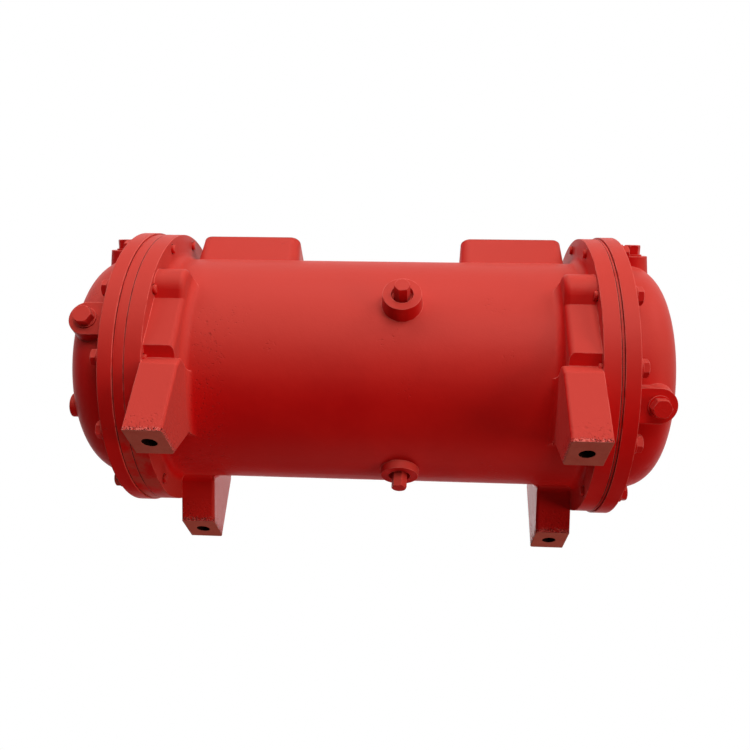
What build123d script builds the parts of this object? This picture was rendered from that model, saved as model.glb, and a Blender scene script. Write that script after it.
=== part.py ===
"""Shell and tube heat exchanger in cast iron, millimetres.

X runs along the shell, -Y is the front and Z is up. The origin is the centre of the four foundation
bolt holes, on the level of the machined soles. The shell is one casting with its end flanges, feet,
port pads and plug bosses. A fixed tube sheet is clamped at the left end, and a floating one slides in
the right end behind a seal ring.
"""

import math
import os

from build123d import *

os.makedirs("parts", exist_ok=True)

# Shell barrel and its end flanges
axis_height = 186.0
shell_outer_r = 148.5
shell_wall = 12.0
shell_half = 283.0
flange_width = 32.5
flange_t = 20.0
flange_root_r = 10.0

# Bolts that all end pieces share, on a circle this far outside the barrel
bolt_offset = 21.5
bolt_count = 12
bolt_hole_d = 13.0

# Feet, with the foundation bolts this far in from the ends of the shell
foot_inset = 43.0
foot_pitch_y = 260.0
foot_bolt_d = 18.0
foot_bolt_depth = 60.0
foot_width = 44.5
brace_width = 37.0
sole_outer = 28.0
sole_inner = 27.0
leg_lean = 2.0
haunch_y = 63.0
haunch_root_r = 14.0
lump_root_r = 11.0
leg_edge_r = 4.0
brace_edge_r = 7.0
cove_r = 10.0
leg_cove_r = 7.0

# Front of a foot, as it steps round the bolts behind the flange
notch_depth = 12.0
notch_rise = 10.0
notch_drop = 13.0
brace_out = 12.5
brace_top_out = 14.5
brace_top = -8.0
lump_out = 3.5
lump_up = 16.0
lump_r = 24.0
lump_from = -40.0
lump_sweep = 130.0
lump_corner_r = 24.0
lump_trim_x = 0.5
lump_trim_z = 0.6

# Port pads on top of the shell, with their centres this far in from its ends
pad_inset = 103.0
pad_length = 136.0
pad_width = 186.0
pad_corner_r = 13.0
pad_rise = 10.0
pad_draft = 3.0
port_d = 90.0
port_bolt_x = 104.0
port_bolt_y = 130.0
port_thread_d = 14.0
port_thread_depth = 26.0

# Plug bosses and plugs in the shell
shell_boss_x = 36.0
shell_boss_d = 47.0
boss_draft = 4.0
front_boss_rise = 19.5
drain_boss_rise = 8.5
counterbore_d = 27.0
counterbore_depth = 9.0
shell_thread_d = 16.0
shell_plug_flats = 17.0
shell_plug_head = 26.0

# Bonnets
bonnet_flange_lip = 2.0
bonnet_flange_t = 17.5
bonnet_offset = 1.0
bonnet_wall = 10.0
bonnet_straight = 16.0
knuckle_r = 45.0
crown_r = 420.0
bonnet_root_r = 5.0
water_pad_r = 58.0
water_pad_rise = 2.0
water_port_d = 64.0
water_bolt_r = 45.0
water_bolt_count = 4
water_thread_d = 10.2
water_thread_depth = 10.0

# Plugs in the bonnets
plug_offset = 27.0
vent_boss_rise = 10.5
anode_boss_rise = 13.5
large_boss_d = 42.0
small_boss_d = 38.0
plug_boss_draft = 6.0
large_thread_d = 20.0
small_thread_d = 14.0
large_plug_flats = 20.0
small_plug_flats = 18.0
plug_head = 12.0
plug_chamfer = 1.2
plug_washer_t = 2.0
plug_washer_margin = 3.0
thread_clearance = 0.1
anode_d = 16.0
anode_length = 70.0

# Blind boss cast on the left bonnet
blind_boss_r = 113.0
blind_boss_angle = -60.0
blind_boss_d = 30.0
blind_boss_drop = 12.5

# Gaskets and the rings between the flanges
gasket_t = 0.8
tube_sheet_t = 12.0
seal_ring_t = 2.2

# Tube stack
tube_d = 25.4
tube_bore_d = 21.0
tube_pitch = 31.75
tube_rings = 3
tube_overhang = 2.0
floating_sheet_t = 30.0
floating_reach = 6.0
floating_clearance = 0.8
baffle_count = 3
baffle_t = 6.0
baffle_clearance = 1.5
tube_clearance = 0.4
tube_seat_clearance = 0.05
tie_rod_d = 10.0
tie_rod_inset = 14.5
tie_rod_angle = 30.0

# Two lengths are taken as the same within this
same = 0.01

shell_bore_r = shell_outer_r - shell_wall
flange_r = shell_outer_r + flange_width
flange_face = shell_half - flange_t
bolt_circle_r = shell_outer_r + bolt_offset
bolt_pitch_angle = 360.0 / bolt_count
low_bolt_z = -bolt_circle_r * math.sin(math.radians(bolt_pitch_angle))
notch_level = axis_height + low_bolt_z
foot_pitch_x = 2 * (shell_half - foot_inset)
pad_pitch = 2 * (shell_half - pad_inset)
pad_top = axis_height + shell_outer_r + pad_rise
pad_root = math.sqrt(shell_bore_r**2 - (pad_width / 2) ** 2) - shell_wall
left_bonnet_face = shell_half + 2 * gasket_t + tube_sheet_t
right_bonnet_face = shell_half + 2 * gasket_t + seal_ring_t
fixed_sheet_face = -shell_half - gasket_t
floating_sheet_face = shell_half + floating_reach - floating_sheet_t
tie_rod_r = shell_bore_r - tie_rod_inset
axis_line = Axis((0, 0, axis_height), (1, 0, 0))

# Angles of the plugs, in degrees above the front: a small vent plug and a large anode plug on each bonnet
vent_plug_angle = 45.0
left_anode_angle = -13.0
right_anode_angle = -45.0
front_plug_angle = 0.0
drain_plug_angle = -90.0
front_plug_turn = 10.0
drain_plug_turn = 13.0
shell_bosses = ((front_plug_angle, front_boss_rise), (drain_plug_angle, drain_boss_rise))

# The dish of a bonnet: the angle that its crown takes up, and its depth beyond the flange face
bonnet_r = shell_outer_r + bonnet_offset
bonnet_flange_r = flange_r + bonnet_flange_lip
crown_angle = math.degrees(math.asin((bonnet_r - knuckle_r) / (crown_r - knuckle_r)))
dish_start = bonnet_flange_t + bonnet_straight
dish_depth = dish_start + crown_r - (crown_r - knuckle_r) * math.cos(math.radians(crown_angle))
plug_x = bonnet_flange_t + plug_offset


def across(x):
    """A plane square to the shell's axis at x, with its origin on the axis and Z up in it."""
    return Plane(origin=(x, 0, axis_height), x_dir=(0, 1, 0), z_dir=(1, 0, 0))


def spoke(x, angle, radius, turn=0.0):
    """A plane whose normal points out from the shell's axis at an angle above the front."""
    rise = math.radians(angle)
    out = Vector(0, -math.cos(rise), math.sin(rise))
    along = Vector(1, 0, 0).rotate(Axis((0, 0, 0), out), turn)
    return Plane(origin=Vector(x, 0, axis_height) + out * radius, x_dir=along, z_dir=out)


def leg_outline():
    """The leg below the lower bolt, seen along the shell from its axis: haunch, sole, front and notch."""
    inner = foot_pitch_y / 2 - sole_inner
    outer = foot_pitch_y / 2 + sole_outer
    front = shell_outer_r + brace_out
    return [
        (haunch_y, low_bolt_z),
        (haunch_y, -math.sqrt(shell_outer_r**2 - haunch_y**2)),
        (inner, -axis_height),
        (outer, -axis_height),
        (outer - leg_lean, low_bolt_z - notch_drop),
        (front - notch_depth, low_bolt_z),
    ]


def foot_section(with_brace):
    """A section across the shell through two feet and the barrel, with the feet's roots rounded.

    With its brace, each foot goes on above the notch for the lower bolt, past a face and up to the
    rounded lump above the middle bolt.
    """
    front = shell_outer_r + brace_out
    leg = leg_outline()
    with BuildLine() as outline:
        if with_brace:
            leg[0] = (haunch_y, 0)
            brace = [(front, low_bolt_z + notch_rise), (shell_outer_r + brace_top_out, brace_top)]
            Polyline(*leg, *brace)
            lump = CenterArc((shell_outer_r + lump_out, lump_up), lump_r, lump_from, lump_sweep)
            Line(brace[-1], lump @ 0)
            Polyline(lump @ 1, (haunch_y, lump_up + lump_r), leg[0])
        else:
            Polyline(*leg, close=True)
    with BuildSketch() as section:
        Circle(shell_outer_r)
        add(outline.line)
        make_face()
        mirror(about=Plane.YZ)
        roots = section.vertices().filter_by(lambda corner: abs(corner.X) < haunch_y + same)
        fillet(roots, haunch_root_r)
        tops = section.vertices().filter_by(
            lambda corner: corner.Y > lump_up and abs(math.hypot(corner.X, corner.Y) - shell_outer_r) < same
        )
        if tops:
            fillet(tops, lump_root_r)
    return section.sketch


def cove(x, end, radius):
    """A ring with a concave side, on the barrel where a foot's inner side meets it at x."""
    top = shell_outer_r + radius
    root = (shell_bore_r + shell_outer_r) / 2
    with BuildPart() as piece:
        with BuildSketch(Plane(origin=(end * x, 0, axis_height), x_dir=(-end, 0, 0), z_dir=(0, end, 0))):
            with BuildLine():
                side = Line((-same, root), (-same, top))
                lip = Line(side @ 1, (0, top))
                hollow = RadiusArc(lip @ 1, (radius, shell_outer_r), -radius)
                Polyline(hollow @ 1, (radius, root), side @ 0)
            make_face()
        revolve(axis=axis_line)
    return piece.part


def lump_corner(end):
    """What comes off the top inboard corner of the lumps at one end, from front to back."""
    x = flange_face - brace_width - cove_r + lump_trim_x
    z = axis_height + lump_up + lump_r - lump_trim_z
    length = brace_width + cove_r
    with BuildPart() as piece:
        with BuildSketch(Plane(origin=(end * x, 0, z), x_dir=(end, 0, 0), z_dir=(0, -end, 0))):
            with BuildLine():
                bend = CenterArc((lump_corner_r, -lump_corner_r), lump_corner_r, 180, -90)
                slope = Line(bend @ 1, (length, lump_root_r))
                top = Polyline(slope @ 1, (length, lump_r), (-cove_r, lump_r), (-cove_r, -lump_corner_r))
                Line(top @ 1, bend @ 0)
            make_face()
        extrude(amount=foot_pitch_y, both=True)
    return piece.part


def feet(end, with_brace):
    """Two feet at one end, from the flange inwards, with a cove where they meet the barrel."""
    width = brace_width if with_brace else foot_width
    radius = cove_r if with_brace else leg_cove_r
    inner = flange_face - width
    section = foot_section(with_brace)
    with BuildPart() as piece:
        with BuildSketch(across(end * flange_face)):
            add(section)
        extrude(amount=-end * width)
        rim = piece.edges().filter_by(lambda edge: abs(edge.center().X - end * inner) < same)
        if with_brace:
            front = rim.filter_by(
                lambda edge: abs(edge.center().Y) > shell_bore_r and edge.center().Z > notch_level + notch_rise
            )
            fillet(front, brace_edge_r)
        else:
            sides = rim.filter_by(
                lambda edge: edge.geom_type == GeomType.LINE and same < edge.center().Z < notch_level - same
            )
            fillet(sides, leg_edge_r)
    with BuildPart() as root:
        add(cove(inner, end, radius))
        with BuildSketch(across(end * inner)):
            add(section)
        extrude(amount=-end * radius, mode=Mode.INTERSECT)
    if with_brace:
        corner = lump_corner(end)
        return piece.part - corner, root.part - corner
    return piece.part, root.part


def dish_outline(depth):
    """The half section of a bonnet at a depth under its skin: straight wall, knuckle and crown."""
    with BuildLine() as outline:
        wall = Line((0, bonnet_r - depth), (dish_start, bonnet_r - depth))
        knuckle = JernArc(wall @ 1, (1, 0), knuckle_r - depth, crown_angle - 90)
        crown = JernArc(knuckle @ 1, knuckle % 1, crown_r - depth, -crown_angle)
        Polyline(crown @ 1, (0, 0), wall @ 0)
    return outline.line


def bonnet(side, face, plugs, blind):
    """A bonnet from its flange face outwards; plugs lists angle, boss radius and diameter, and thread."""
    radial = Plane(origin=(side * face, 0, axis_height), x_dir=(side, 0, 0), z_dir=(0, -side, 0))
    flange_back = side * (face + bonnet_flange_t)
    pad_face = side * (face + dish_depth + water_pad_rise)
    with BuildPart() as piece:
        with BuildSketch(radial):
            add(dish_outline(0))
            make_face()
        revolve(axis=axis_line)
        with BuildSketch(across(side * face)):
            Circle(bonnet_flange_r)
        extrude(amount=side * bonnet_flange_t)
        root = piece.edges().filter_by(
            lambda edge: edge.geom_type == GeomType.CIRCLE
            and abs(edge.radius - bonnet_r) < same
            and abs(edge.center().X - flange_back) < same
        )
        fillet(root, bonnet_root_r)
        for angle, boss_r, boss_d, thread_d in plugs:
            reach = boss_r - bonnet_r + knuckle_r
            spread = reach * math.tan(math.radians(plug_boss_draft))
            with BuildSketch(spoke(side * (face + plug_x), angle, boss_r - reach)):
                Circle(boss_d / 2 + spread)
            extrude(amount=reach, taper=plug_boss_draft)
            if boss_d > small_boss_d:
                with BuildSketch(spoke(side * (face + plug_x - plug_offset / 2), angle, boss_r - reach)):
                    Rectangle(plug_offset, boss_d)
                extrude(amount=reach)
        if blind:
            with BuildSketch(across(side * (face + dish_depth - blind_boss_drop))):
                with PolarLocations(blind_boss_r, 1, start_angle=180 - blind_boss_angle):
                    Circle(blind_boss_d / 2)
            extrude(amount=-side * knuckle_r)
        with BuildSketch(across(pad_face)):
            Circle(water_pad_r)
        extrude(amount=-side * (water_pad_rise + bonnet_wall))
        with BuildSketch(radial):
            add(dish_outline(bonnet_wall))
            make_face()
        revolve(axis=axis_line, mode=Mode.SUBTRACT)
        with BuildSketch(across(side * face)):
            with PolarLocations(bolt_circle_r, bolt_count):
                Circle(bolt_hole_d / 2)
        extrude(amount=side * bonnet_flange_t, mode=Mode.SUBTRACT)
        with BuildSketch(across(pad_face)):
            Circle(water_port_d / 2)
        extrude(amount=-side * dish_depth, mode=Mode.SUBTRACT)
        with BuildSketch(across(pad_face)):
            with PolarLocations(water_bolt_r, water_bolt_count, start_angle=180 / water_bolt_count):
                Circle(water_thread_d / 2)
        extrude(amount=-side * water_thread_depth, mode=Mode.SUBTRACT)
        for angle, boss_r, boss_d, thread_d in plugs:
            with BuildSketch(spoke(side * (face + plug_x), angle, boss_r)):
                Circle(thread_d / 2)
            extrude(amount=-bonnet_r / 2, mode=Mode.SUBTRACT)
    return piece.part


def plug(x, angle, thread_d, flats, end_r, seat_r, head, turn=0.0):
    """A hexagon plug on a spoke: a threaded end from end_r to its seat, then its chamfered head."""
    corner_r = flats / math.sqrt(3)
    with BuildPart() as cap:
        with BuildSketch(spoke(x, angle, seat_r, turn)):
            Circle(corner_r)
        extrude(amount=head)
        rim = cap.faces().sort_by(lambda face: (face.center() - Vector(x, 0, axis_height)).length)[-1]
        chamfer(rim.edges(), plug_chamfer)
        with BuildSketch(spoke(x, angle, seat_r, turn)):
            RegularPolygon(flats / 2, 6, major_radius=False)
        extrude(amount=head, mode=Mode.INTERSECT)
    with BuildPart() as piece:
        with BuildSketch(spoke(x, angle, end_r)):
            Circle(thread_d / 2 - thread_clearance)
        extrude(amount=seat_r - end_r)
        add(cap.part)
    return piece.part


def ring(x, thickness, outer_r, inner_r):
    """A flat ring with the bolt holes of the end flanges, from x in the direction of +X."""
    with BuildPart() as piece:
        with BuildSketch(across(x)):
            Circle(outer_r)
            Circle(inner_r, mode=Mode.SUBTRACT)
            with PolarLocations(bolt_circle_r, bolt_count):
                Circle(bolt_hole_d / 2, mode=Mode.SUBTRACT)
        extrude(amount=thickness)
    return piece.part


def save(part, label):
    """Label a finished piece and write it."""
    part.label = label
    export_step(part, f"parts/{label}.step")


# Shell casting
with BuildPart() as shell_casting:
    with BuildSketch(across(-shell_half)):
        Circle(shell_outer_r)
    extrude(amount=2 * shell_half)
    for side in (-1, 1):
        with BuildSketch(across(side * shell_half)):
            Circle(flange_r)
        extrude(amount=-side * flange_t)
    roots = shell_casting.edges().filter_by(
        lambda edge: edge.geom_type == GeomType.CIRCLE and abs(edge.radius - shell_outer_r) < same
    )
    fillet(roots, flange_root_r)
    for angle, rise in shell_bosses:
        reach = rise + shell_wall
        spread = reach * math.tan(math.radians(boss_draft))
        with BuildSketch(spoke(shell_boss_x, angle, shell_bore_r)):
            Circle(shell_boss_d / 2 + spread)
        extrude(amount=reach, taper=boss_draft)
    for end in (-1, 1):
        for with_brace in (False, True):
            block, root = feet(end, with_brace)
            add(block)
            add(root)
    for end in (-1, 1):
        reach = pad_top - axis_height - pad_root
        spread = reach * math.tan(math.radians(pad_draft))
        with BuildSketch(Plane.XY.offset(axis_height + pad_root)):
            with Locations((end * pad_pitch / 2, 0)):
                RectangleRounded(pad_length + 2 * spread, pad_width + 2 * spread, pad_corner_r + spread)
        extrude(amount=reach, taper=pad_draft)
    with BuildSketch(across(-shell_half)):
        Circle(shell_bore_r)
    extrude(amount=2 * shell_half, mode=Mode.SUBTRACT)
    for end in (-1, 1):
        with BuildSketch(across(end * flange_face)):
            with PolarLocations(bolt_circle_r, bolt_count):
                Circle(bolt_hole_d / 2)
        extrude(amount=end * flange_t, mode=Mode.SUBTRACT)
        with BuildSketch(Plane.XY.offset(pad_top)):
            with Locations((end * pad_pitch / 2, 0)):
                Circle(port_d / 2)
        extrude(amount=-shell_outer_r, mode=Mode.SUBTRACT)
        with BuildSketch(Plane.XY.offset(pad_top)):
            with Locations((end * pad_pitch / 2, 0)):
                with GridLocations(port_bolt_x, port_bolt_y, 2, 2):
                    Circle(port_thread_d / 2)
        extrude(amount=-port_thread_depth, mode=Mode.SUBTRACT)
    with BuildSketch():
        with GridLocations(foot_pitch_x, foot_pitch_y, 2, 2):
            Circle(foot_bolt_d / 2)
    extrude(amount=foot_bolt_depth, mode=Mode.SUBTRACT)
    for angle, rise in shell_bosses:
        with BuildSketch(spoke(shell_boss_x, angle, shell_outer_r + rise)):
            Circle(counterbore_d / 2)
        extrude(amount=-counterbore_depth, mode=Mode.SUBTRACT)
        with BuildSketch(spoke(shell_boss_x, angle, shell_outer_r + rise)):
            Circle(shell_thread_d / 2)
        extrude(amount=-(rise + 2 * shell_wall), mode=Mode.SUBTRACT)
save(shell_casting.part, "shell_casting")

# Bonnets with their plugs, washers and anodes
ends = (
    ("left", -1, left_bonnet_face, left_anode_angle, True),
    ("right", 1, right_bonnet_face, right_anode_angle, False),
)
inner_r = bonnet_r - bonnet_wall
for name, side, face, anode_angle, blind in ends:
    vent_r = bonnet_r + vent_boss_rise
    anode_r = bonnet_r + anode_boss_rise
    plugs = (
        (vent_plug_angle, vent_r, small_boss_d, small_thread_d),
        (anode_angle, anode_r, large_boss_d, large_thread_d),
    )
    save(bonnet(side, face, plugs, blind), f"{name}_bonnet")
    x = side * (face + plug_x)
    for kind, flats, (angle, boss_r, boss_d, thread_d) in zip(
        ("vent", "anode"), (small_plug_flats, large_plug_flats), plugs
    ):
        seat_r = boss_r + plug_washer_t
        save(plug(x, angle, thread_d, flats, inner_r, seat_r, plug_head), f"{name}_{kind}_plug")
        with BuildPart() as washer:
            with BuildSketch(spoke(x, angle, boss_r)):
                Circle(flats / 2 + plug_washer_margin)
                Circle(thread_d / 2, mode=Mode.SUBTRACT)
            extrude(amount=plug_washer_t)
        save(washer.part, f"{name}_{kind}_washer")
    with BuildPart() as anode:
        with BuildSketch(spoke(x, anode_angle, inner_r)):
            Circle(anode_d / 2)
        extrude(amount=-anode_length)
    save(anode.part, f"{name}_anode")

# Plugs in the shell
for name, (angle, rise), turn in zip(
    ("shell_front_plug", "shell_drain_plug"), shell_bosses, (front_plug_turn, drain_plug_turn)
):
    seat_r = shell_outer_r + rise - counterbore_depth
    shell_plug = plug(
        shell_boss_x, angle, shell_thread_d, shell_plug_flats, shell_bore_r, seat_r, shell_plug_head, turn
    )
    save(shell_plug, name)

# Gaskets and the seal ring between the flanges
save(ring(-shell_half - gasket_t, gasket_t, flange_r, shell_bore_r), "left_shell_gasket")
save(ring(-left_bonnet_face, gasket_t, flange_r, shell_bore_r), "left_bonnet_gasket")
save(ring(shell_half, gasket_t, flange_r, shell_bore_r), "right_shell_gasket")
save(ring(shell_half + gasket_t, seal_ring_t, flange_r, shell_bore_r), "right_seal_ring")
save(ring(right_bonnet_face - gasket_t, gasket_t, flange_r, shell_bore_r), "right_bonnet_gasket")

# Rows of tubes on a triangular pitch, as places across the shell
row_pitch = tube_pitch * math.sin(math.radians(60))
tube_places = []
for row in range(-tube_rings, tube_rings + 1):
    in_row = 2 * tube_rings + 1 - abs(row)
    for index in range(in_row):
        tube_places.append((tube_pitch * (index - (in_row - 1) / 2), row_pitch * row))
rod_places = [
    (tie_rod_r * math.cos(math.radians(angle)), tie_rod_r * math.sin(math.radians(angle)))
    for angle in (tie_rod_angle, 180 - tie_rod_angle, 180 + tie_rod_angle, -tie_rod_angle)
]

# Fixed tube sheet, clamped between the left flanges
with BuildPart() as left_tube_sheet:
    with BuildSketch(across(fixed_sheet_face - tube_sheet_t)):
        Circle(flange_r)
        with PolarLocations(bolt_circle_r, bolt_count):
            Circle(bolt_hole_d / 2, mode=Mode.SUBTRACT)
        with Locations(*tube_places):
            Circle(tube_d / 2 + tube_seat_clearance, mode=Mode.SUBTRACT)
    extrude(amount=tube_sheet_t)
save(left_tube_sheet.part, "left_tube_sheet")

# Tube stack: the floating sheet and the tubes that are expanded into it
tube_start = fixed_sheet_face - tube_sheet_t - tube_overhang
tube_end = floating_sheet_face + floating_sheet_t + tube_overhang
with BuildPart() as tube_stack:
    with BuildSketch(across(floating_sheet_face)):
        Circle(shell_bore_r - floating_clearance)
    extrude(amount=floating_sheet_t)
    with BuildSketch(across(tube_start)):
        with Locations(*tube_places):
            Circle(tube_d / 2)
    extrude(amount=tube_end - tube_start)
    with BuildSketch(across(tube_start)):
        with Locations(*tube_places):
            Circle(tube_bore_d / 2)
    extrude(amount=tube_end - tube_start, mode=Mode.SUBTRACT)
save(tube_stack.part, "tube_stack")

# Baffles, cut away in turn above and below between two rows of tubes
baffle_gap = (floating_sheet_face - fixed_sheet_face) / (baffle_count + 1)
baffle_r = shell_bore_r - baffle_clearance
baffle_cut = row_pitch * (tube_rings - 0.5)
for index in range(baffle_count):
    window_side = 1 if index % 2 == 0 else -1
    with BuildPart() as baffle:
        with BuildSketch(across(fixed_sheet_face + baffle_gap * (index + 1) - baffle_t / 2)):
            Circle(baffle_r)
            with Locations((0, window_side * (baffle_cut + baffle_r))):
                Rectangle(2 * baffle_r, 2 * baffle_r, mode=Mode.SUBTRACT)
            with Locations(*[spot for spot in tube_places if window_side * spot[1] < baffle_cut]):
                Circle(tube_d / 2 + tube_clearance, mode=Mode.SUBTRACT)
            with Locations(*rod_places):
                Circle(tie_rod_d / 2 + tube_clearance, mode=Mode.SUBTRACT)
        extrude(amount=baffle_t)
    save(baffle.part, f"baffle_{index + 1}")

# Tie rods from the fixed sheet through every baffle
with BuildPart() as tie_rods:
    with BuildSketch(across(fixed_sheet_face)):
        with Locations(*rod_places):
            Circle(tie_rod_d / 2)
    extrude(amount=baffle_gap * baffle_count + baffle_t + tie_rod_d)
save(tie_rods.part, "tie_rods")
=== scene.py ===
# %% [markdown]
# A shell and tube heat exchanger is a plain cast drum on four feet, with a dished bonnet bolted on
# each end. The casting, its bonnets and plugs come in as solids that already have their true shape.
# This script gives them their finish: a thick coat of red enamel on rough cast iron, worn bare on the
# machined soles. It also adds the bolts, which are far too many alike to be worth a solid each.
# Everything is in metres, X along the drum, -Y to the front and Z up.

# %% Load the casting
import math

import bpy
from mathutils import Matrix, Vector


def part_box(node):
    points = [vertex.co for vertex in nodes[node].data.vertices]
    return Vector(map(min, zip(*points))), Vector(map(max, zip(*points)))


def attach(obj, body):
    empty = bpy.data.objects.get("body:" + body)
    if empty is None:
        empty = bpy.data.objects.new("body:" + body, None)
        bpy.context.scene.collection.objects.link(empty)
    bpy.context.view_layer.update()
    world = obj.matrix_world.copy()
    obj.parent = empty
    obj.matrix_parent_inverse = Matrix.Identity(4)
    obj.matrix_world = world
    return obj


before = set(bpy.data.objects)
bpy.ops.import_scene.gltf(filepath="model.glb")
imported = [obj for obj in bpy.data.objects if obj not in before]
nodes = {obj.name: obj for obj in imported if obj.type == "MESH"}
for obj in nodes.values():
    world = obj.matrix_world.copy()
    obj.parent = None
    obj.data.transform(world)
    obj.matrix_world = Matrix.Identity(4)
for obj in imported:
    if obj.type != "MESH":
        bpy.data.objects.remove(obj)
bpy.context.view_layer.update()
print("nodes", len(nodes))

# %% [markdown]
# The viewpoint is low in front and looks up at the drum, so that the undersides of the feet show. A
# camera is placed most simply by the angle it looks from: turned a little to the right of the front,
# well below the level, and rolled slightly. Its back vector comes from the first two angles.

# %% Camera
camera_azimuth = 3.92
camera_elevation = -32.62
camera_roll = 3.33
camera_place = (0.0567, -0.8578, -0.3713)
camera_lens = 35.76
sensor_width = 36


def viewing_frame(azimuth, elevation, roll):
    """The camera's right, up and back directions as the columns of a matrix."""
    turn, rise, tilt = (math.radians(angle) for angle in (azimuth, elevation, roll))
    across = math.cos(rise)
    back = Vector((math.sin(turn) * across, -math.cos(turn) * across, math.sin(rise)))
    level = Vector((math.cos(turn), math.sin(turn), 0))
    right = level * math.cos(tilt) + back.cross(level) * math.sin(tilt)
    return Matrix((right, back.cross(right), back)).transposed()


scene = bpy.context.scene
scene.view_settings.view_transform = "Standard"
lens = bpy.data.cameras.new("camera")
lens.sensor_width = sensor_width
lens.lens = camera_lens
camera = bpy.data.objects.new("camera", lens)
scene.collection.objects.link(camera)
view = viewing_frame(camera_azimuth, camera_elevation, camera_roll).to_4x4()
camera.matrix_world = Matrix.Translation(camera_place) @ view
scene.camera = camera
print("camera back", [round(value, 3) for value in view.col[2][:3]])

# %% [markdown]
# A shader is a small tree of nodes, and so is a piece made by Geometry Nodes. Written out in full, each
# node takes a few lines for itself and more for its links. One helper keeps that short: it adds a node
# and fills its sockets, each with a number or with another node's socket.

# %% Add a node


def put(tree, kind, sockets=None, **settings):
    """Add a node; sockets maps a socket's name or index to a value or to another node's socket."""
    made = tree.nodes.new(kind)
    for name, value in settings.items():
        setattr(made, name, value)
    for name, value in (sockets or {}).items():
        if isinstance(value, bpy.types.NodeSocket):
            tree.links.new(value, made.inputs[name])
        else:
            made.inputs[name].default_value = value
    return made


print("helper", put.__name__)

# %% [markdown]
# Most patterns are arithmetic. A mask is a value that is 1 where something holds and 0 elsewhere, so a
# product of masks means "all of them" and the largest of them means "any of them".

# %% Arithmetic on sockets


def calc(tree, operation, first, second=0.0):
    """The result of one arithmetic step, as a socket."""
    return put(tree, "ShaderNodeMath", {0: first, 1: second}, operation=operation).outputs[0]


def times(tree, first, *others):
    """The product of several values, as a socket."""
    for other in others:
        first = calc(tree, "MULTIPLY", first, other)
    return first


def largest(tree, first, *others):
    """The largest of several values, as a socket."""
    for other in others:
        first = calc(tree, "MAXIMUM", first, other)
    return first


def between(tree, value, low, high):
    """A mask of the places where a value lies between two others."""
    return times(tree, calc(tree, "GREATER_THAN", value, low), calc(tree, "LESS_THAN", value, high))


def dot(tree, first, second):
    """How far two directions agree, as a socket."""
    made = put(tree, "ShaderNodeVectorMath", {0: first, 1: second}, operation="DOT_PRODUCT")
    return made.outputs["Value"]


print("helpers", ", ".join(each.__name__ for each in (calc, times, largest, between, dot)))

# %% [markdown]
# Paint and rust have no sharp borders. A noise gives them their shapes, a ramp keeps one range of its
# values with soft ends, and the result mixes two colours.

# %% Ramps, colours and noise


def ramp(tree, value, start, end, low=0.0, high=1.0):
    """A value carried over from one range to another, smooth at both ends."""
    sockets = {"Value": value, "From Min": start, "From Max": end, "To Min": low, "To Max": high}
    made = put(tree, "ShaderNodeMapRange", sockets, interpolation_type="SMOOTHSTEP")
    return made.outputs[0]


def blend_colour(tree, factor, first, second):
    """Two colours mixed by a factor, as a socket."""
    made = put(tree, "ShaderNodeMix", {"Factor": factor}, data_type="RGBA")
    for name, value in (("A", first), ("B", second)):
        socket = next(each for each in made.inputs if each.name == name and each.type == "RGBA")
        if isinstance(value, bpy.types.NodeSocket):
            tree.links.new(value, socket)
        else:
            socket.default_value = (*value, 1)
    return next(each for each in made.outputs if each.type == "RGBA")


def noise(tree, where, scale, detail=2.0, roughness=0.5):
    """A noise in the piece's own metres, as a socket from 0 to 1."""
    sockets = {"Vector": where, "Scale": scale, "Detail": detail, "Roughness": roughness}
    return put(tree, "ShaderNodeTexNoise", sockets).outputs["Fac"]


print("helpers", ", ".join(each.__name__ for each in (ramp, blend_colour, noise)))

# %% [markdown]
# The drum shows against white. The camera and the glossy paint see the world as plain white, by the
# Light Path node, while the light that it really sheds is weak. That way the background stays clean and
# the lamps alone shape the drum.

# %% World
sky = (0.05, 0.05, 0.05)
white = (1, 1, 1)


def shows_background(tree):
    """A mask of the rays that see the plain background: camera, glossy and transmission."""
    path = put(tree, "ShaderNodeLightPath").outputs
    return largest(tree, path["Is Camera Ray"], path["Is Glossy Ray"], path["Is Transmission Ray"])


world = bpy.data.worlds.new("studio")
world.use_nodes = True
scene.world = world
tree = world.node_tree
tree.nodes.clear()
light_sky = put(tree, "ShaderNodeBackground", {"Color": (*sky, 1), "Strength": 1.0})
white_sky = put(tree, "ShaderNodeBackground", {"Color": (*white, 1), "Strength": 1.0})
sockets = {0: shows_background(tree), 1: light_sky.outputs[0], 2: white_sky.outputs[0]}
mixed = put(tree, "ShaderNodeMixShader", sockets)
put(tree, "ShaderNodeOutputWorld", {"Surface": mixed.outputs[0]})
print("world", sky)

# %% [markdown]
# The light is that of a room: a window far off on the right, a fill on the left, one lamp at the front
# and one above. Two below are reddened, as light is that has bounced off the drum itself, and two
# behind light its back. Each is a large square, for soft shadows. They are easiest to place by angle,
# as the angle alone decides which sides of the drum they reach.

# %% Lamps
lamp_target = Vector((0, 0, 0.186))
near = {"distance": 2.6, "size": 1.4}
far = {"distance": 7.0, "size": 3.0}
bounced = (1.0, 0.42, 0.36)


def lamp(name, azimuth, elevation, distance, size, power, colour=white):
    """A square area lamp that faces the drum from an angle round it and an angle above the level."""
    turn, rise = math.radians(azimuth), math.radians(elevation)
    across = math.cos(rise)
    toward = Vector((math.sin(turn) * across, -math.cos(turn) * across, math.sin(rise)))
    data = bpy.data.lights.new(name, "AREA")
    data.shape = "SQUARE"
    data.size = size
    data.energy = power
    data.color = colour
    made = bpy.data.objects.new(name, data)
    scene.collection.objects.link(made)
    made.location = lamp_target + distance * toward
    made.rotation_euler = toward.to_track_quat("Z", "Y").to_euler()
    return made


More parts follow.
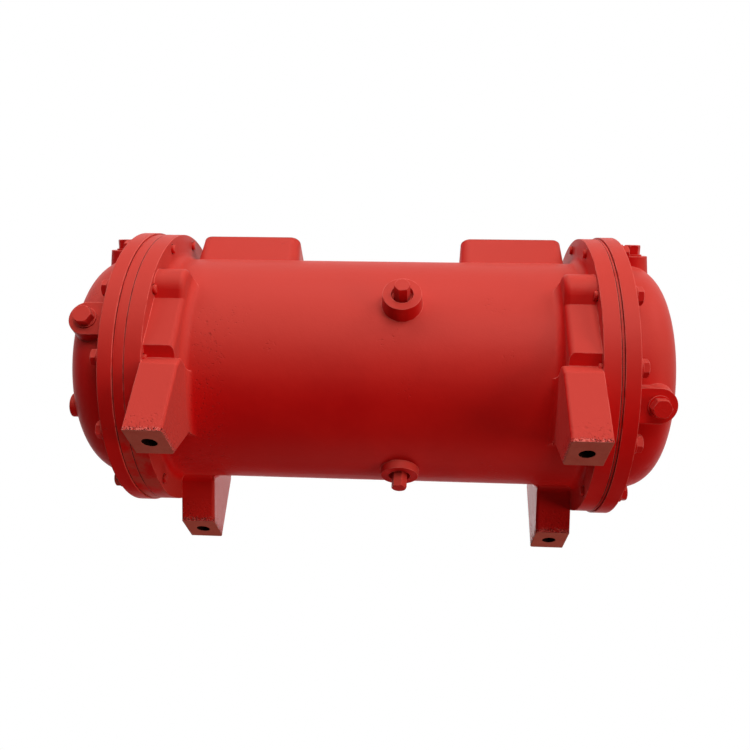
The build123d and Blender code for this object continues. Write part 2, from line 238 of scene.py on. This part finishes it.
lamps = (
    lamp("window", 52, 28, power=120, **far),
    lamp("left_fill", -50, 28, power=105, **far),
    lamp("front", 12, 8, power=33, **near),
    lamp("above", -5, 50, power=22, **near),
    lamp("low_right", 68, -22, power=150, colour=bounced, **far),
    lamp("low_back", 180, -55, power=19, colour=bounced, **near),
    lamp("behind_right", 170, 28, power=75, **far),
    lamp("behind_left", -170, 28, power=75, **far),
)
print("lamps", len(lamps))

# %% [markdown]
# An empty material comes with one Principled shader, and every finish below starts from that.

# %% New material


def new_material(name):
    """An empty material with its Principled shader, as material, tree and shader."""
    material = bpy.data.materials.new(name)
    material.use_nodes = True
    tree = material.node_tree
    return material, tree, tree.nodes["Principled BSDF"]


print("helper", new_material.__name__)

# %% [markdown]
# The floor is a pale sheet under the soles. The viewpoint is beneath it, so its underside is left
# clear: the Backfacing output of the Geometry node tells which side of a face is seen. The camera and
# the glossy paint see its upper side, which keeps the drum's shadow. It sends no light back up.

# %% Floor
floor_half = 4.0
floor_gap = 0.0004
floor_pale = (0.86, 0.86, 0.86)
floor_roughness = 0.9
corner_signs = ((-1, -1), (1, -1), (1, 1), (-1, 1))
floor_corners = [(x * floor_half, y * floor_half, -floor_gap) for x, y in corner_signs]
sheet = bpy.data.meshes.new("floor")
sheet.from_pydata(floor_corners, [], [(0, 1, 2, 3)])
floor = bpy.data.objects.new("floor", sheet)
scene.collection.objects.link(floor)
pale, tree, shader = new_material("pale_floor")
shader.inputs["Base Color"].default_value = (*floor_pale, 1)
shader.inputs["Roughness"].default_value = floor_roughness
clear = put(tree, "ShaderNodeBsdfTransparent")
under = put(tree, "ShaderNodeNewGeometry").outputs["Backfacing"]
unseen = calc(tree, "SUBTRACT", 1.0, shows_background(tree))
hidden = largest(tree, under, unseen)
mixed = put(tree, "ShaderNodeMixShader", {0: hidden, 1: shader.outputs[0], 2: clear.outputs[0]})
tree.links.new(mixed.outputs[0], tree.nodes["Material Output"].inputs["Surface"])
sheet.materials.append(pale)
print("floor", 2 * floor_half, "m wide")

# %% [markdown]
# The finishes need a few sizes of the casting: how high its axis lies, how far the bore and the flanges
# reach from it, and where the machined faces are. The boxes of the nodes give most of them. The few
# that no box shows, such as the pads' height and the flange's thickness, are named below.

# %% Sizes from the frame
gasket_low, gasket_high = (Vector(corner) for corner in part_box("left_shell_gasket"))
stack_low, stack_high = (Vector(corner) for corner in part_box("tube_stack"))
axis_height = (gasket_low.z + gasket_high.z) / 2
flange_r = (gasket_high.z - gasket_low.z) / 2
bore_r = (stack_high.z - stack_low.z) / 2
shell_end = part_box("shell_casting")[1][0]
left_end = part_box("left_bonnet")[0][0]
right_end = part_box("right_bonnet")[1][0]
pad_top = 0.3445
pad_end = 0.249
flange_t = 0.020
bolt_inset = 0.011
bolt_circle_r = flange_r - bolt_inset
print("axis", round(axis_height, 4), "flange radius", round(flange_r, 4), "bore", round(bore_r, 4))

# %% [markdown]
# Wear and dirt depend on the place. A pattern could be unwrapped onto each piece, but castings have no
# natural seams, so all of them read the place on the object instead. A real coat of paint is also
# rounder on the corners, and the corners are painted paler, partly a painted highlight and partly rubbed
# paint. The Bevel node gives both: it rounds the normal near an edge, and how far it turns the normal
# says how near the edge is.

# %% Places and edges
edge_turn = (0.998, 0.90)


def object_place(tree):
    """The place on the object, as a vector socket and its three parts."""
    where = put(tree, "ShaderNodeTexCoord").outputs["Object"]
    parts = put(tree, "ShaderNodeSeparateXYZ", {0: where}).outputs
    return where, parts


def axis_distance(tree, parts):
    """How far a place is from the drum's axis."""
    up = calc(tree, "SUBTRACT", parts["Z"], axis_height)
    squares = calc(tree, "ADD", times(tree, up, up), times(tree, parts["Y"], parts["Y"]))
    return calc(tree, "SQRT", squares)


def near_edge(tree, radius):
    """A rounded normal, and a mask of the edges that fades out a radius away from them."""
    rounded = put(tree, "ShaderNodeBevel", {"Radius": radius}, samples=8).outputs[0]
    flat = put(tree, "ShaderNodeNewGeometry").outputs["Normal"]
    return rounded, ramp(tree, dot(tree, rounded, flat), *edge_turn)


print("helpers", ", ".join(each.__name__ for each in (object_place, axis_distance, near_edge)))

# %% [markdown]
# Sand-cast iron is never smooth. Its skin has a fine grain from the sand, a coarser bumpiness, a slow
# swell, and small pits in clusters. Four noises make it, each of its own scale. Their scales are per
# metre, and their heights are shares of the depth of the bump.

# %% Cast skin
grain_scale = 520.0
grain_height = 0.5
bump_scale = 130.0
bump_height = 0.45
swell_scale = 32.0
swell_height = 1.6
pit_scale = 300.0
pit_range = (0.63, 0.73)
pit_depth = 4.2


def cast_height(tree, where, pits):
    """The height of a cast skin, and the depth of its pits, which come where the mask allows."""
    grain = noise(tree, where, grain_scale, 3.0, 0.6)
    bumps = noise(tree, where, bump_scale)
    swell = noise(tree, where, swell_scale)
    spots = noise(tree, where, pit_scale, 1.0)
    holes = times(tree, ramp(tree, spots, *pit_range), pits)
    height = calc(tree, "ADD", times(tree, grain, grain_height), times(tree, bumps, bump_height))
    height = calc(tree, "ADD", height, times(tree, swell, swell_height))
    return calc(tree, "SUBTRACT", height, times(tree, holes, pit_depth)), holes


print("cast skin with pits about", round(1000 / pit_scale, 1), "mm apart")

# %% [markdown]
# The left flange has stood in wet dirt, which has dried on the lowest part of its rim in patches. A
# pair of heights says where the dirt starts and where it is thickest.

# %% Flange dirt
dirt_span = (0.045, 0.012)
dirt_end = -0.2635
dirt_scale = 42.0
dirt_range = (0.36, 0.62)
dirt_strength = 0.6
rim_margin = 0.001


def flange_dirt(tree, where):
    """A mask of the dried dirt that clings to the lowest part of the left flange."""
    parts = put(tree, "ShaderNodeSeparateXYZ", {0: where}).outputs
    low = ramp(tree, parts["Z"], *dirt_span)
    patchy = ramp(tree, noise(tree, where, dirt_scale, 4.0, 0.6), *dirt_range)
    on_rim = calc(tree, "LESS_THAN", axis_distance(tree, parts), flange_r + rim_margin)
    on_left = calc(tree, "LESS_THAN", parts["X"], dirt_end)
    return times(tree, low, patchy, on_rim, on_left, dirt_strength)


print("dirt up to", dirt_span[0], "m")

# %% [markdown]
# The enamel is a strong red that varies slowly, as brushed paint does. The sides that face up, forward
# and to the right, where the strongest lamps stand, are painted paler and duller: painted light. Edges
# are painted pale, partly a painted highlight and partly rubbed paint, and pits are painted a little
# darker, a painted shade. One colour is laid over another, and the dirt comes last.

# %% Enamel colour
enamel_red = (0.62, 0.010, 0.008)
enamel_deep = (0.54, 0.006, 0.006)
enamel_painted_lit = (0.57, 0.052, 0.038)
# The pale colour of a painted highlight on edges, also used for rubbed paint and crumbs.
enamel_pale_highlight_and_wear = (0.80, 0.16, 0.13)
primer_and_pit_shade = (0.12, 0.008, 0.008)
dirt = (0.42, 0.12, 0.085)
tone_scale = 7.0
tone_range = (0.35, 0.65)
painted_light_from = (0.45, -0.55, 0.70)
painted_light_range = (-0.20, 0.50)
edge_scale = 60.0
edge_range = (0.30, 0.55)
edge_highlight_and_wear = 0.85
pit_shade = 0.15


def enamel_colour(tree, where, edge, holes):
    """The paint's colour: slow changes of tone, painted light on the lit sides, a painted highlight and
    wear on edges, and painted shade in pits.
    """
    tone = noise(tree, where, tone_scale, 4.0, 0.55)
    colour = blend_colour(tree, ramp(tree, tone, *tone_range), enamel_deep, enamel_red)
    facing = put(tree, "ShaderNodeNewGeometry").outputs["Normal"]
    # Painted light: the sides that face the lamps are made paler and duller.
    painted_lit = ramp(tree, dot(tree, facing, painted_light_from), *painted_light_range)
    colour = blend_colour(tree, painted_lit, colour, enamel_painted_lit)
    broken = ramp(tree, noise(tree, where, edge_scale, 3.0), *edge_range)
    # Painted highlight along the edges, partly rubbed paint as well.
    colour = blend_colour(tree, times(tree, edge, broken, edge_highlight_and_wear), colour, enamel_pale_highlight_and_wear)
    # Painted shade: the pits are made a little darker.
    colour = blend_colour(tree, times(tree, holes, pit_shade), colour, primer_and_pit_shade)
    return blend_colour(tree, flange_dirt(tree, where), colour, dirt)


print("enamel", enamel_deep, "to", enamel_red)

# %% [markdown]
# The coat is dull for an enamel. Its gloss is weak and broad, and the thin veil of dust lightens it
# where it turns away, which is what sheen does. A number that is the same all over goes straight on the
# shader's socket. Colour and height are patterns, so they are linked, the height through a Bump node.

# %% Gloss and bump
gloss_level = 0.05
sheen_weight = 0.07
sheen_roughness = 0.40
sheen_tint = (1, 0.80, 0.70)


def dusty_gloss(shader, roughness):
    """A weak broad gloss under a thin veil of dust."""
    shader.inputs["Roughness"].default_value = roughness
    shader.inputs["Specular IOR Level"].default_value = gloss_level
    shader.inputs["Sheen Weight"].default_value = sheen_weight
    shader.inputs["Sheen Roughness"].default_value = sheen_roughness
    shader.inputs["Sheen Tint"].default_value = (*sheen_tint, 1)


def finish(tree, shader, colour, height, normal, grain=0.6, depth=0.0004):
    """Join a colour and a height to a shader."""
    tree.links.new(colour, shader.inputs["Base Color"])
    sockets = {"Height": height, "Distance": depth, "Strength": grain}
    if normal:
        sockets["Normal"] = normal
    tree.links.new(put(tree, "ShaderNodeBump", sockets).outputs[0], shader.inputs["Normal"])


print("gloss", gloss_level, "sheen", sheen_weight)

# %% [markdown]
# The shell casting is machined where other things meet it. The port faces and the bore are bare, and the
# walls of the bolt holes are painted near black, a painted shade. Each is a mask worked out from the
# place on the object: a port face is where the height is that of the pads, a foundation hole is what
# lies near its axis, and the holes for the flange bolts lie in one ring inside the flange.

# %% Machined faces and holes
face_band = 0.0004
bore_margin = 0.002
foot_hole = (0.240, 0.130)
foot_hole_r = 0.0095
foot_hole_top = 0.060
bolt_hole_r = 0.0068


def machined_faces(tree, parts, distance):
    """A mask of the port faces on the pads and of the bore."""
    face = between(tree, parts["Z"], pad_top - face_band, pad_top + face_band)
    face = times(tree, face, between(tree, parts["X"], -pad_end, pad_end))
    return largest(tree, face, calc(tree, "LESS_THAN", distance, bore_r + bore_margin))


def painted_hole_shade(tree, parts, distance):
    """A mask of the walls of the foundation bolt holes and of the flange bolt holes, which get a painted
    shade.
    """
    squares = 0.0
    for name, middle in zip("XY", foot_hole):
        aside = calc(tree, "SUBTRACT", calc(tree, "ABSOLUTE", parts[name]), middle)
        squares = calc(tree, "ADD", squares, times(tree, aside, aside))
    in_foot = calc(tree, "LESS_THAN", squares, foot_hole_r**2)
    in_foot = times(tree, in_foot, between(tree, parts["Z"], face_band, foot_hole_top))
    ring = between(tree, distance, bolt_circle_r - bolt_hole_r, bolt_circle_r + bolt_hole_r)
    along = calc(tree, "ABSOLUTE", parts["X"])
    deep = between(tree, along, shell_end - flange_t + face_band, shell_end - face_band)
    return largest(tree, in_foot, times(tree, ring, deep))


print("pads", pad_top, "m high, bolt circle", round(bolt_circle_r, 4), "m")

# %% [markdown]
# A casting is roughest low down, where it was knocked about. Pits cluster here and there over the
# shell, beside the left feet and low on all the feet. The lowest centimetre of the feet is chipped.
# Each pair of lengths says where a mask starts and where it is full.

# %% Wear of the shell
foot_x = 0.196
beside_span = (0.03, 0.004)
below_span = (0.19, 0.14)
cluster_scale = 11.0
cluster_range = (0.64, 0.74)
chip_span = (0.009, 0.002)
rough_span = (0.034, 0.004)


def shell_wear(tree, where, parts, distance):
    """Three masks of the shell: where pits may come, where grit comes, and the band that chips."""
    beside = calc(tree, "ABSOLUTE", calc(tree, "ADD", parts["X"], foot_x))
    by_feet = times(tree, ramp(tree, beside, *beside_span), ramp(tree, parts["Z"], *below_span))
    clusters = ramp(tree, noise(tree, where, cluster_scale), *cluster_range)
    on_feet = calc(tree, "GREATER_THAN", distance, flange_r + rim_margin)
    low = times(tree, ramp(tree, parts["Z"], *chip_span), on_feet)
    rough = times(tree, ramp(tree, parts["Z"], *rough_span), on_feet)
    return largest(tree, clusters, by_feet, rough), rough, low


print("chips up to", chip_span[0], "m, grit up to", rough_span[0], "m")

# %% [markdown]
# A chip breaks the paint down to the dark primer, with pale crumbs of paint left in it. Chips crowd
# toward the sole, so the mask of the band is added to the noise before a ramp cuts it.

# %% Chips
chip_scale = 430.0
chip_crowding = 0.22
chip_range = (0.64, 0.70)
chip_depth = 1.2
crumb_scale = 700.0
crumb_range = (0.45, 0.55)


def shell_chips(tree, where, low):
    """A mask of the chips and the colour inside them."""
    crowding = times(tree, low, chip_crowding)
    ragged = calc(tree, "ADD", noise(tree, where, chip_scale, 3.0, 0.6), crowding)
    chips = times(tree, ramp(tree, ragged, *chip_range), low)
    crumbs = ramp(tree, noise(tree, where, crumb_scale), *crumb_range)
    return chips, blend_colour(tree, crumbs, primer_and_pit_shade, enamel_pale_highlight_and_wear)


print("chips about", round(1000 / chip_scale, 1), "mm wide")

# %% [markdown]
# Now the shell's own finish puts these layers together. The soles are bare iron with a film of red
# rust, so they are duller and browner than the port faces. Bare metal is also smoother than the cast
# skin, so it keeps only a quarter of the bump.

# %% Shell casting finish
bare_sole = (0.42, 0.105, 0.072)
pale_sole = (0.54, 0.22, 0.165)
bare_iron = (0.17, 0.145, 0.13)
pale_iron = (0.26, 0.23, 0.21)
hole_painted_shade = (0.018, 0.010, 0.008)
grit_scale = 280.0
grit_height = 4.0
stain_scale = 45.0
cast_bevel = 0.0016
bare_bump = 0.25
shell_roughness = 0.44
worn_roughness = 0.62
iron_metallic = 0.55


def shell_finish():
    """Red enamel with bare soles, port faces and bore, and chips and pits where the casting has them."""
    material, tree, shader = new_material("cast_enamel")
    where, parts = object_place(tree)
    distance = axis_distance(tree, parts)
    rounded, edge = near_edge(tree, cast_bevel)
    pits, rough, low = shell_wear(tree, where, parts, distance)
    height, holes = cast_height(tree, where, pits)
    grit = times(tree, rough, noise(tree, where, grit_scale))
    height = calc(tree, "ADD", height, times(tree, grit, grit_height))
    colour = enamel_colour(tree, where, edge, holes)
    chips, chipped = shell_chips(tree, where, low)
    colour = blend_colour(tree, chips, colour, chipped)
    stain = noise(tree, where, stain_scale, 4.0, 0.6)
    sole = calc(tree, "LESS_THAN", parts["Z"], face_band)
    colour = blend_colour(tree, sole, colour, blend_colour(tree, stain, bare_sole, pale_sole))
    machined = machined_faces(tree, parts, distance)
    colour = blend_colour(tree, machined, colour, blend_colour(tree, stain, bare_iron, pale_iron))
    # Painted shade: the walls of the bolt holes are made near black.
    colour = blend_colour(tree, painted_hole_shade(tree, parts, distance), colour, hole_painted_shade)
    bare = largest(tree, sole, machined)
    height = calc(tree, "SUBTRACT", height, times(tree, chips, chip_depth))
    height = times(tree, height, ramp(tree, bare, 0, 1, 1.0, bare_bump))
    finish(tree, shader, colour, height, rounded)
    dusty_gloss(shader, shell_roughness)
    roughness = ramp(tree, largest(tree, bare, chips), 0, 1, shell_roughness, worn_roughness)
    tree.links.new(roughness, shader.inputs["Roughness"])
    tree.links.new(times(tree, machined, iron_metallic), shader.inputs["Metallic"])
    return material


cast_enamel = shell_finish()
print("shell", len(cast_enamel.node_tree.nodes), "nodes")

# %% [markdown]
# The bonnets have the same enamel on a smoother skin. Their water ports are machined bare: the face is
# the outermost plane of the bonnet, and the bore is all that lies close to the axis.

# %% Bonnet finish
water_port_r = 0.032
water_port_margin = 0.0003
bonnet_cluster_scale = 13.0
bonnet_cluster_range = (0.64, 0.72)
bonnet_roughness = 0.42


def bonnet_finish():
    """Red enamel on a bonnet, with the face and bore of its water port bare."""
    material, tree, shader = new_material("bonnet_enamel")
    where, parts = object_place(tree)
    rounded, edge = near_edge(tree, cast_bevel)
    clusters = ramp(tree, noise(tree, where, bonnet_cluster_scale), *bonnet_cluster_range)
    height, holes = cast_height(tree, where, clusters)
    colour = enamel_colour(tree, where, edge, holes)
    bare = calc(tree, "LESS_THAN", axis_distance(tree, parts), water_port_r + water_port_margin)
    for end in (right_end, left_end):
        away = calc(tree, "ABSOLUTE", calc(tree, "SUBTRACT", parts["X"], end))
        bare = largest(tree, bare, calc(tree, "LESS_THAN", away, face_band))
    colour = blend_colour(tree, bare, colour, bare_iron)
    finish(tree, shader, colour, height, rounded, grain=0.5)
    dusty_gloss(shader, bonnet_roughness)
    return material


bonnet_enamel = bonnet_finish()
print("bonnet", len(bonnet_enamel.node_tree.nodes), "nodes")

# %% [markdown]
# The tube sheet is naval brass and the seal ring is steel. Only their rims, which show between the
# flanges, were painted. So these are bare metal that turns to enamel at the flange's radius.

# %% Rim finish
brass = (0.62, 0.42, 0.17)
rim_band = 0.0006
rim_bevel = 0.001
rim_roughness = 0.42
dull_scale = 60.0
dull_share = 0.7


def rim_finish(name, metal):
    """Bare metal with enamel on the outer rim."""
    material, tree, shader = new_material(name)
    where, parts = object_place(tree)
    painted = calc(tree, "GREATER_THAN", axis_distance(tree, parts), flange_r - rim_band)
    rounded, edge = near_edge(tree, rim_bevel)
    height, holes = cast_height(tree, where, 0.0)
    red = enamel_colour(tree, where, edge, holes)
    darker = tuple(dull_share * value for value in metal)
    dull = blend_colour(tree, noise(tree, where, dull_scale, 4.0), metal, darker)
    finish(tree, shader, blend_colour(tree, painted, dull, red), height, rounded, grain=0.3)
    tree.links.new(ramp(tree, painted, 0, 1, 1.0, 0.0), shader.inputs["Metallic"])
    dusty_gloss(shader, rim_roughness)
    return material


sheet_brass = rim_finish("sheet_brass", brass)
ring_enamel = rim_finish("ring_enamel", bare_iron)
print("rims", sheet_brass.name, ring_enamel.name)

# %% [markdown]
# The gaskets were painted over with the rest, and the paint has cracked along them into a thin dark
# line. In places it still bridges the joint, so a noise along the rim turns the line back to red.

# %% Gasket finish
groove_dark = (0.055, 0.006, 0.006)
groove_red = (0.30, 0.008, 0.008)
bridge_scale = 26.0
bridge_range = (0.50, 0.62)
gasket_scale = 300.0
gasket_roughness = 0.75


def gasket_finish():
    """Dark gasket edge, bridged with paint in places."""
    material, tree, shader = new_material("gasket_rim")
    where = object_place(tree)[0]
    bridged = ramp(tree, noise(tree, where, bridge_scale, 3.0), *bridge_range)
    colour = blend_colour(tree, bridged, groove_dark, groove_red)
    finish(tree, shader, colour, noise(tree, where, gasket_scale), None, grain=0.4)
    shader.inputs["Roughness"].default_value = gasket_roughness
    shader.inputs["Specular IOR Level"].default_value = gloss_level
    return material


gasket_rim = gasket_finish()
print("gasket", len(gasket_rim.node_tree.nodes), "nodes")

# %% [markdown]
# Plugs and bolts are machined steel under the same paint. It is thinner there, so it has fine marks
# instead of the bumps of a casting, and the corners that a spanner turns are rounded less.

# %% Plug finish
plug_bevel = 0.0008
plug_scale = 380.0
plug_wear = 0.6
plug_wear_scale = 420.0
plug_wear_range = (0.62, 0.68)
plug_wear_depth = 1.5
plug_roughness = 0.40


def plug_finish():
    """Enamel on machined steel, thin on the corners that a spanner turns."""
    material, tree, shader = new_material("plug_enamel")
    where = object_place(tree)[0]
    rounded, edge = near_edge(tree, plug_bevel)
    ragged = noise(tree, where, plug_wear_scale, 4.0, 0.65)
    holes = times(tree, ramp(tree, ragged, *plug_wear_range), plug_wear)
    worn = times(tree, holes, plug_wear_depth)
    height = calc(tree, "SUBTRACT", noise(tree, where, plug_scale, 3.0), worn)
    colour = enamel_colour(tree, where, edge, holes)
    finish(tree, shader, colour, height, rounded, grain=0.5, depth=0.0003)
    dusty_gloss(shader, plug_roughness)
    return material


plug_enamel = plug_finish()
print("plug", len(plug_enamel.node_tree.nodes), "nodes")

# %% [markdown]
# Through the ports the tubes show, and they are bare. Drawn brass has fine marks along its length, so
# the place is squeezed along the drum before the noise reads it, which stretches the marks that way.

# %% Bare metals
zinc = (0.50, 0.51, 0.53)
brass_roughness = 0.38
zinc_roughness = 0.6
drawn_stretch = (0.05, 1, 1)
drawn_scale = 900.0
tarnish_scale = 40.0
tarnish_range = (0.35, 0.75)
tarnish_share = 0.45


def metal_finish(name, colour, roughness):
    """A dull bare metal with drawn marks along the drum and a little tarnish."""
    material, tree, shader = new_material(name)
    where = object_place(tree)[0]
    drawn = put(tree, "ShaderNodeMapping", {"Vector": where, "Scale": drawn_stretch}).outputs[0]
    tarnish = ramp(tree, noise(tree, where, tarnish_scale, 4.0, 0.6), *tarnish_range)
    marks = noise(tree, drawn, drawn_scale)
    darker = tuple(tarnish_share * value for value in colour)
    shade = blend_colour(tree, tarnish, colour, darker)
    finish(tree, shader, shade, marks, None, grain=0.25, depth=0.0001)
    shader.inputs["Metallic"].default_value = 1.0
    shader.inputs["Roughness"].default_value = roughness
    return material


naval_brass = metal_finish("naval_brass", brass, brass_roughness)
zinc_metal = metal_finish("zinc_metal", zinc, zinc_roughness)
print("metals", naval_brass.name, zinc_metal.name)

# %% [markdown]
# Each node of the frame now gets its finish. A name says what a piece is, so the finishes are listed
# by the word that the names share. The patterns read Object coordinates, and every node lies at the
# origin, so the grain runs on from one casting to the next without a seam.

# %% Paint the nodes
finishes = (
    ("shell_casting", cast_enamel),
    ("plug", plug_enamel),
    ("washer", plug_enamel),
    ("tube_sheet", sheet_brass),
    ("seal_ring", ring_enamel),
    ("gasket", gasket_rim),
    ("tube_stack", naval_brass),
    ("baffle", naval_brass),
    ("rods", naval_brass),
    ("anode", zinc_metal),
    ("bonnet", bonnet_enamel),
)
for name, node in nodes.items():
    chosen = next(material for word, material in finishes if word in name)
    node.data.materials.clear()
    node.data.materials.append(chosen)
print("painted", len(nodes))

# %% [markdown]
# Twelve hexagon bolts hold each bonnet, with a washer under the head, and the end of each shank stands
# a little proud of the shell's flange. They are all alike, so one bolt is built by Geometry Nodes and
# set round a circle. Its sizes are named inputs of the tree, so that one tree serves both ends. Every
# part of it is a cylinder or a cone along Z.

# %% Bolt inputs
bolt_inputs = (
    ("Circle Radius", "NodeSocketFloat"),
    ("Count", "NodeSocketInt"),
    ("Across Flats", "NodeSocketFloat"),
    ("Head Height", "NodeSocketFloat"),
    ("Washer Radius", "NodeSocketFloat"),
    ("Washer Thickness", "NodeSocketFloat"),
    ("Shank Radius", "NodeSocketFloat"),
    ("Shank Length", "NodeSocketFloat"),
    ("Place", "NodeSocketVector"),
    ("Facing", "NodeSocketFloat"),
    ("Seed", "NodeSocketInt"),
    ("Material", "NodeSocketMaterial"),
)


def solid_round(tree, radius, low, high, sides, top_radius=None):
    """A closed cylinder or cone along Z between two heights, as a mesh socket."""
    sockets = {
        "Vertices": sides,
        "Radius Top": radius if top_radius is None else top_radius,
        "Radius Bottom": radius,
        "Depth": calc(tree, "SUBTRACT", high, low),
    }
    made = put(tree, "GeometryNodeMeshCone", sockets).outputs["Mesh"]
    lift = put(tree, "ShaderNodeCombineXYZ", {"Z": low}).outputs[0]
    return put(tree, "GeometryNodeTransform", {"Geometry": made, "Translation": lift}).outputs[0]


print("bolt inputs", len(bolt_inputs))

# %% [markdown]
# The head is a hexagon cut by a cone, which gives it the curved chamfer of a real one. The cone leaves
# a round crown a little smaller than the flats and widens from there at thirty degrees. The shank ends
# in a short taper, as a thread does.

# %% Bolt head and shank
head_sides = 6
chamfer_share = 0.95
chamfer_sides = 48
washer_sides = 40
shank_sides = 32
tip_share = 0.84
tip_length = 0.2


def bolt_head(tree, size):
    """The hexagon head on its washer, as two mesh sockets."""
    seat = size["Washer Thickness"]
    top = calc(tree, "ADD", seat, size["Head Height"])
    corner = calc(tree, "DIVIDE", size["Across Flats"], math.sqrt(3))
    flat = calc(tree, "DIVIDE", size["Across Flats"], 2.0)
    hexagon = solid_round(tree, corner, seat, top, head_sides)
    slope = times(tree, size["Head Height"], math.sqrt(3))
    crown = times(tree, flat, chamfer_share)
    cap = solid_round(tree, calc(tree, "ADD", crown, slope), seat, top, chamfer_sides, crown)
    head = put(tree, "GeometryNodeMeshBoolean", {}, operation="INTERSECT", solver="EXACT")
    tree.links.new(hexagon, head.inputs["Mesh 2"])
    tree.links.new(cap, head.inputs["Mesh 2"])
    return head.outputs["Mesh"], solid_round(tree, size["Washer Radius"], 0.0, seat, washer_sides)


def bolt_shank(tree, size):
    """The shank down to its tapered tip, as two mesh sockets."""
    reach = times(tree, size["Shank Length"], -1.0)
    tip_start = calc(tree, "ADD", reach, times(tree, size["Shank Radius"], tip_length))
    taper = times(tree, size["Shank Radius"], tip_share)
    seat = size["Washer Thickness"]
    shank = solid_round(tree, size["Shank Radius"], tip_start, seat, shank_sides)
    return shank, solid_round(tree, taper, reach, tip_start, shank_sides, size["Shank Radius"])


print("bolt parts", bolt_head.__name__, bolt_shank.__name__)

# %% [markdown]
# One bolt is then set on every point of a circle. Each is turned by a different amount, as a spanner
# leaves them, and a fixed seed keeps the turns the same on every run. Instances are cheap but are not
# yet a mesh of their own, so they are realized before the ring takes its material.

# %% Ring of bolts


def bolt_tree():
    """A ring of bolts round the X axis, with its sizes as named inputs."""
    tree = bpy.data.node_groups.new("flange_bolts", "GeometryNodeTree")
    for name, kind in bolt_inputs:
        tree.interface.new_socket(name, in_out="INPUT", socket_type=kind)
    tree.interface.new_socket("Geometry", in_out="OUTPUT", socket_type="NodeSocketGeometry")
    size = tree.nodes.new("NodeGroupInput").outputs
    bolt = put(tree, "GeometryNodeJoinGeometry")
    for part in (*bolt_head(tree, size), *bolt_shank(tree, size)):
        tree.links.new(part, bolt.inputs[0])
    sockets = {"Vertices": size["Count"], "Radius": size["Circle Radius"]}
    circle = put(tree, "GeometryNodeMeshCircle", sockets)
    sockets = {"Points": circle.outputs[0], "Instance": bolt.outputs[0]}
    placed = put(tree, "GeometryNodeInstanceOnPoints", sockets)
    chance = put(tree, "FunctionNodeRandomValue", {"Seed": size["Seed"]}, data_type="FLOAT")
    chance.inputs[3].default_value = math.pi / 3
    spin = put(tree, "ShaderNodeCombineXYZ", {"Z": chance.outputs[1]}).outputs[0]
    sockets = {"Instances": placed.outputs[0], "Rotation": spin}
    turned = put(tree, "GeometryNodeRotateInstances", sockets)
    quarter_turn = times(tree, size["Facing"], math.pi / 2)
    sideways = put(tree, "ShaderNodeCombineXYZ", {"Y": quarter_turn}).outputs[0]
    sockets = {"Geometry": turned.outputs[0], "Rotation": sideways, "Translation": size["Place"]}
    stood = put(tree, "GeometryNodeTransform", sockets)
    plain = put(tree, "GeometryNodeRealizeInstances", {0: stood.outputs[0]})
    sockets = {"Geometry": plain.outputs[0], "Material": size["Material"]}
    painted = put(tree, "GeometryNodeSetMaterial", sockets)
    tree.links.new(painted.outputs[0], tree.nodes.new("NodeGroupOutput").inputs[0])
    return tree


bolts_tree = bolt_tree()
print("bolt tree", len(bolts_tree.nodes), "nodes")

# %% [markdown]
# A tree only describes a piece. To make one, it is put on an empty object as a modifier, each input is
# set by its identifier, and the evaluated mesh is kept as a plain object, which rides on the body.

# %% Make a piece from a tree


def dressed(name, tree, values, body="root", slot="red_paint_steel"):
    """Make the piece that a tree describes, as a plain mesh that rides on a body."""
    holder = bpy.data.objects.new(name + "_source", bpy.data.meshes.new(name + "_source"))
    scene.collection.objects.link(holder)
    modifier = holder.modifiers.new("build", "NODES")
    modifier.node_group = tree
    for item in tree.interface.items_tree:
        if item.in_out == "INPUT" and item.name in values:
            modifier[item.identifier] = values[item.name]
    evaluated = holder.evaluated_get(bpy.context.evaluated_depsgraph_get())
    mesh = bpy.data.meshes.new_from_object(evaluated)
    mesh.name = name
    bpy.data.objects.remove(holder)
    piece = bpy.data.objects.new(name, mesh)
    scene.collection.objects.link(piece)
    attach(piece, body)
    return piece


print("helper", dressed.__name__)

# %% [markdown]
# The bolts are of size M12, which measures 19 mm across the flats. Each ring sits on the outer face of
# a bonnet's flange and faces outwards. Its shanks run through both flanges and end 4 mm beyond them.

# %% Flange bolts
bolt_flats = 0.019
bolt_head_height = 0.0075
bolt_washer_r = 0.012
bolt_washer_t = 0.0025
bolt_shank_r = 0.0055
bolt_tip_out = 0.004
bonnet_flange_t = 0.0175
bolt_count = 12
bolt_seed = 3

for end, side in (("left", -1), ("right", 1)):
    low, high = (Vector(corner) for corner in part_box(end + "_bonnet"))
    face = high.x if side < 0 else low.x
    seat = face + side * bonnet_flange_t
    inner = side * (shell_end - flange_t)
    values = {
        "Circle Radius": bolt_circle_r,
        "Count": bolt_count,
        "Across Flats": bolt_flats,
        "Head Height": bolt_head_height,
        "Washer Radius": bolt_washer_r,
        "Washer Thickness": bolt_washer_t,
        "Shank Radius": bolt_shank_r,
        "Shank Length": abs(seat - inner) + bolt_tip_out,
        "Place": (seat, 0, axis_height),
        "Facing": float(side),
        "Seed": bolt_seed + side,
        "Material": plug_enamel,
    }
    bolts = dressed(end + "_flange_bolts", bolts_tree, values)
    print(bolts.name, len(bolts.data.polygons), "faces")

# %% [markdown]
# Looks must not change the object's size.

# %% End
print("end of scene")
